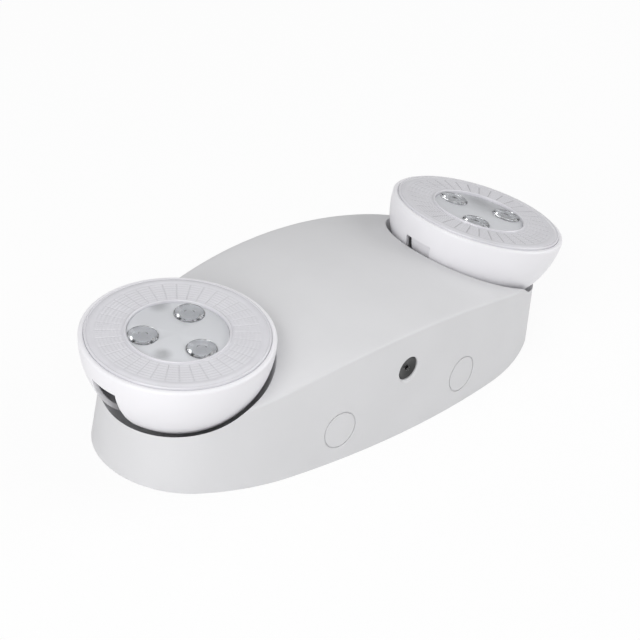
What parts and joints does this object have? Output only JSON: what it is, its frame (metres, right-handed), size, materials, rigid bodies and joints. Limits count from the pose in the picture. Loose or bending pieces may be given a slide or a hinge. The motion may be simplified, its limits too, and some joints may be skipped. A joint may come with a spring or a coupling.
{
  "type": "emergency light",
  "caption": "Wall or ceiling emergency light: white domed oval body with a ball-mounted LED lamp head in a pocket at each end and a round black test button in one long side.",
  "frame": {"origin": "centre of the wire entry in the mounting face at the back of the light", "axes": "+Z out of the wall, away from the mounting face; +X along the body towards the right lamp head; the test button and knockouts are in the long side facing -Y"},
  "size_m": [0.2945, 0.1124, 0.0739],
  "materials": {
    "housing": "fine matt moulded white",
    "lamp_white": "smooth satin white",
    "lens_ribbed": "clear moulded lens with radial ribs",
    "frosted_plate": "frosted translucent",
    "clear_optic": "clear polished",
    "carrier_white": "satin white",
    "board_white": "white solder mask",
    "emitter": "phosphor yellow",
    "button_black": "black satin",
    "clear_guide": "clear",
    "moulded_grey": "matt light grey",
    "circuit_board": "green solder mask",
    "screws": "zinc plated",
    "plated_steel": "zinc plated",
    "washer_nylon": "natural nylon",
    "dark_plastic": "black matt",
    "relay_blue": "blue",
    "capacitor_sleeve": "dark blue sleeve",
    "terminal_green": "green",
    "cell_sleeve": "green shrink sleeve",
    "red_lens": "tinted red",
    "lead_white": "white cable sheath"
  },
  "bodies": {
    "body": {"front_housing": "housing", "back_plate": "moulded_grey", "main_board": "circuit_board", "board_screws": "screws", "transformer": "dark_plastic", "relay": "relay_blue", "capacitors": "capacitor_sleeve", "terminal_block": "terminal_green", "battery_cells": "cell_sleeve", "battery_cradle": "moulded_grey", "battery_strap": "dark_plastic", "switch_board": "circuit_board", "switch_screws": "screws", "test_switch": "dark_plastic", "status_led": "red_lens", "left_lead": "lead_white", "right_lead": "lead_white"},
    "test_button": {"test_button": "button_black", "button_window": "clear_guide", "switch_plunger": "dark_plastic"},
    "left_swivel": {"left_swivel_stem": "lamp_white", "left_saddle_clamp": "plated_steel", "left_clamp_screws": "screws", "left_friction_washer": "washer_nylon", "left_retainer": "plated_steel", "left_retainer_screws": "screws"},
    "left_head": {"left_lamp_bowl": "lamp_white", "left_lamp_carrier": "carrier_white", "left_led_board": "board_white", "left_leds": "emitter", "left_led_screws": "screws", "left_carrier_screws": "screws", "left_optics": "clear_optic", "left_optic_plate": "frosted_plate", "left_lens_cover": "lens_ribbed"},
    "right_swivel": {"right_swivel_stem": "lamp_white", "right_saddle_clamp": "plated_steel", "right_clamp_screws": "screws", "right_friction_washer": "washer_nylon", "right_retainer": "plated_steel", "right_retainer_screws": "screws"},
    "right_head": {"right_lamp_bowl": "lamp_white", "right_lamp_carrier": "carrier_white", "right_led_board": "board_white", "right_leds": "emitter", "right_led_screws": "screws", "right_carrier_screws": "screws", "right_optics": "clear_optic", "right_optic_plate": "frosted_plate", "right_lens_cover": "lens_ribbed"}
  },
  "joints": [
    {"name": "button_press", "type": "slide", "parent": "body", "child": "test_button", "axis": [0, 1, 0], "range_m": [0, 0.0015], "stiffness_N_per_m": 400, "springref_m": -0.002},
    {"name": "left_swivel_turn", "type": "hinge", "parent": "body", "child": "left_swivel", "pos_m": [-0.1026, 0, 0.0633], "axis": [-0.4067, 0, 0.9135], "range_deg": [-165, 165]},
    {"name": "left_lamp_tilt", "type": "hinge", "parent": "left_swivel", "child": "left_head", "pos_m": [-0.1026, 0, 0.0633], "axis": [0, -1, 0], "range_deg": [-35.5, 88.5]},
    {"name": "right_swivel_turn", "type": "hinge", "parent": "body", "child": "right_swivel", "pos_m": [0.1026, 0, 0.0633], "axis": [0.4067, 0, 0.9135], "range_deg": [-165, 165]},
    {"name": "right_lamp_tilt", "type": "hinge", "parent": "right_swivel", "child": "right_head", "pos_m": [0.1026, 0, 0.0633], "axis": [0, -1, 0], "range_deg": [-80.5, 43.5]}
  ]
}
